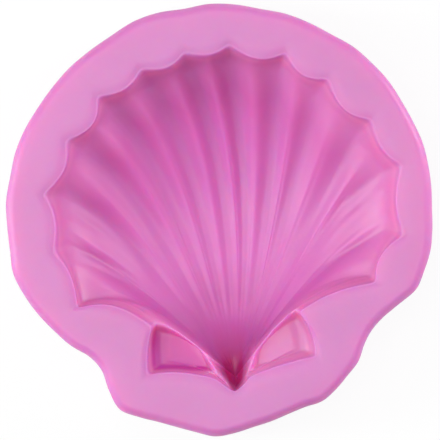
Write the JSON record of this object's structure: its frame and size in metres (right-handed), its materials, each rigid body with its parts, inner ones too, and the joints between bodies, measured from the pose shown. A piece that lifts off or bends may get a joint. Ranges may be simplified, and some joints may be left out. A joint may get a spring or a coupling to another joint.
{
  "type": "shell casting mould",
  "caption": "Soft silicone mould, a thick disc with a wavy outer edge and a deep ribbed scallop shell hollow with two small ears at its hinge.",
  "frame": {"origin": "on the flat back, under the middle of the outline's box", "axes": "+Z out of the open face, +Y from the shell's hinge to its fan edge, +X across the shell, to the right as the hollow is looked into"},
  "size_m": [0.08, 0.0811, 0.022],
  "materials": {
    "silicone": "satin, slightly translucent pink"
  },
  "bodies": {
    "root": {"mould_body": "silicone"}
  },
  "joints": []
}
